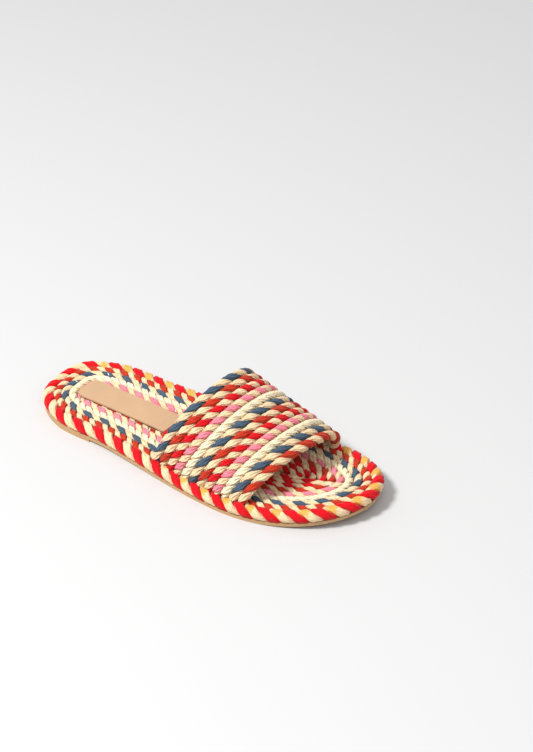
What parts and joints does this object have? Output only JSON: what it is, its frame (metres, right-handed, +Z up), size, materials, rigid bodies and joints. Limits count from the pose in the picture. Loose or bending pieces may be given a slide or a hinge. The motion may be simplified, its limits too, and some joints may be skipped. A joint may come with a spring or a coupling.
{
  "type": "rope slide sandal",
  "caption": "Slip-on sandal for the right foot with a coiled rope footbed, a wide rope strap and a thin leather sole.",
  "frame": {"origin": "on the ground under the middle of the sole's outline", "axes": "+Y towards the toe, +X towards the little toe, +Z up"},
  "size_m": [0.0971, 0.2535, 0.0587],
  "materials": {
    "sole_leather": "satin natural edge",
    "rim_rope": "matt two-ply cotton rope, red and cream",
    "bed_rope": "matt two-ply cotton rope, cream with red, pink and blue",
    "patch_leather": "matt light tan",
    "strap_rope": "matt two-ply cotton rope, cream with red, pink and blue"
  },
  "bodies": {
    "root": {"heel_lift": "sole_leather", "outsole": "sole_leather", "edge_rope": "rim_rope", "footbed": "bed_rope", "sock_patch": "patch_leather", "upper_band": "strap_rope"}
  },
  "joints": []
}
